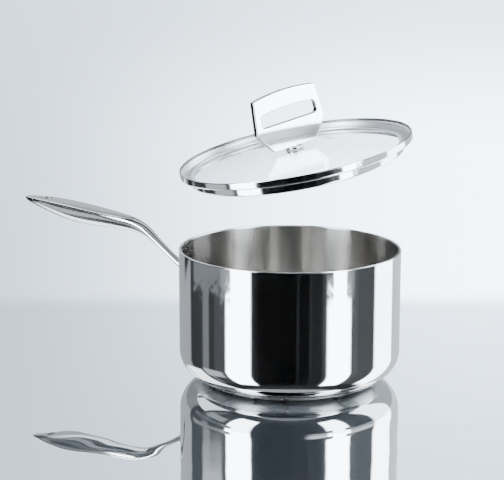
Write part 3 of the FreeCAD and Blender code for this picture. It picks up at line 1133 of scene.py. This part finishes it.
# %% Paint the cards
cards = [
    # name, from and to in degrees, brightness, softness of its edges in degrees
    ("left rear wall", -181, -125, 1.1, 5),
    ("left grey flag", -124, -104, 0.12, 4),
    ("left gap", -102, -93, 0.55, 3),
    ("left dark edge", -92, -85, 0.11, 3),
    ("left softbox", -69, -42.5, 42.0, 5),
    ("left of camera", -39, -34, 0.03, 3),
    ("black flag", -35, 7, 0.0, 3),
    ("right of camera", 7, 20, 0.008, 4),
    ("right of camera, outer", 20, 33, 0.04, 5),
    ("right softbox", 39, 63, 42.0, 6),
    ("right grey flag", 66, 73, 0.3, 3),
    ("right dark flag", 74, 94, 0.22, 4),
    ("right bright wall", 97, 130, 18.0, 5),
    ("right rear wall", 131, 181, 2.4, 6),
]
walls = 0.2
for name, start, end, brightness, soft in cards:
    walls = blend(tree, window(bearing, start, end, soft), walls, brightness)
print("studio cards:", len(cards))

# %% [markdown]
# ## The feet, the tops and the floor of the studio
# Cards stand on feet and end under a dim ceiling, with a lamp overhead. A patch changes
# the brightness inside a window of bearings and heights, so a few rows paint all the
# feet. To the right a low sheet of light lies along the floor. It only adds light, so
# that it doesn't darken the softbox it crosses.

# %% Paint the feet, the ceiling and the low light


def paint(level, patches):
    """The level with each patch painted over it in turn."""
    for bearings, heights, brightness, *own in patches:
        soft_side, soft_end = own or (5, 0.05)
        mask = sums(tree, "MULTIPLY", window(bearing, *bearings, soft_side),
                    window(height, *heights, soft_end))
        level = blend(tree, mask, level, brightness)
    return level


feet = [
    # bearings, heights, brightness, softness in bearing and in height
    ((-118, -70), (0.1, 0.2405), 0.6, 5, 0.008),
    ((-76, -63), (0.1, 0.247), 1.0, 5, 0.012),
    ((36, 45), (0.1, 0.247), 0.15, 4, 0.012),
    ((58, 68), (0.1, 0.247), 0.9, 4, 0.012),
]
ceiling_glow, lamp_glow, low_glow = 0.08, 1.1, 2.5
studio = paint(walls, feet)
card_top = spread(tree, height, 0.72, 0.80, 0, 1, smooth=True)
studio = blend(tree, card_top, studio, ceiling_glow)
overhead = spread(tree, height, 0.90, 0.94, 0, 1, smooth=True)
studio = blend(tree, overhead, studio, lamp_glow)
low_right = sums(tree, "MULTIPLY", window(bearing, 18, 200, 12), window(height, -2, 0.14, 0.1))
studio = sums(tree, "MAXIMUM", studio, sums(tree, "MULTIPLY", low_right, low_glow))
print("feet:", len(feet))

# %% [markdown]
# ## What one bounce shows and what two show
# The wall of the pan shows the studio in one bounce, dimmed as by a screen. The inside of
# the cup, and the pan's mirror image in the table, show it in two or more. Each takes its
# own patches, as when one light is set for the wall and another for the inside.

# %% Paint the patches for one bounce and for two
one_bounce = [
    # bearings, heights, brightness
    ((-200, -140), (0.05, 0.4), 0.85),
    ((-140, -76), (-0.5, 0.8), 0.03),
    ((-168, -140), (0.45, 0.75), 3.0),
    ((126, 200), (0.16, 0.5), 0.3),
    ((65, 96), (0.16, 0.6), 1.2),
]
two_bounces = [
    ((-104, -76), (0.34, 0.56), 1.6),
    ((-200, -110), (0.42, 0.95), 7.0),
]
screen = 0.5
straight = paint(sums(tree, "MULTIPLY", studio, screen), one_bounce)
mirrored = paint(studio, two_bounces)
path = put(tree, "ShaderNodeLightPath").outputs
bounced = sums(tree, "GREATER_THAN", path["Glossy Depth"], 1.5)
in_steel = blend(tree, bounced, straight, mirrored)
print("patches:", len(one_bounce), "and", len(two_bounces))

# %% [markdown]
# ## The pale wall
# Looked at directly, through the glass or once in the table, the surroundings are only a
# pale wall. It is dull on the left and bright on the right, and it dims a little above
# and just under the horizon.

# %% Paint the pale wall
bright_glow = 8.5
below = spread(tree, height, -0.16, -0.06, 1.0, 0.48, smooth=True)
above = spread(tree, height, 0.22, 0.36, 1.0, 0.6, smooth=True)
side_glow = blend(tree, sums(tree, "LESS_THAN", height, 0.0), above, below)
bright_side = sums(tree, "MULTIPLY", side_glow, bright_glow)
dull_side = spread(tree, height, -0.25, 0.2, 1.95, 2.75, smooth=True)
to_the_right = spread(tree, right, -0.17, 0.15, 0, 1, smooth=True)
pale = blend(tree, to_the_right, dull_side, bright_side)

# %% [markdown]
# ## Joining the two
# The table is a perfect mirror and the steel is not, which tells them apart. Light that
# scattered in its last bounce came off steel. So, here, did light that bounced and went
# through the glass, and light that bounced twice. These show the studio, and all other
# light shows the pale wall, which is a little cooler in colour.

# %% Join the studio and the pale wall
once = sums(tree, "GREATER_THAN", path["Glossy Depth"], 0.5)
scattered = sums(tree, "SUBTRACT", 1.0, path["Is Singular Ray"])
through_glass = sums(tree, "GREATER_THAN", path["Transmission Depth"], 0.5)
off_metal = sums(tree, "MULTIPLY", once, sums(tree, "MAXIMUM", scattered, through_glass))
share = sums(tree, "MAXIMUM", bounced, off_metal)
WALL_COLOUR = (0.71, 0.85, 1.0, 1)
CARD_COLOUR = (0.90, 0.95, 1.0, 1)
cool = put(tree, "ShaderNodeMix", {0: share, 6: WALL_COLOUR, 7: CARD_COLOUR},
           data_type="RGBA").outputs[2]
feed(background, {"Color": cool, "Strength": blend(tree, share, pale, in_steel)})
print("world nodes:", len(tree.nodes))
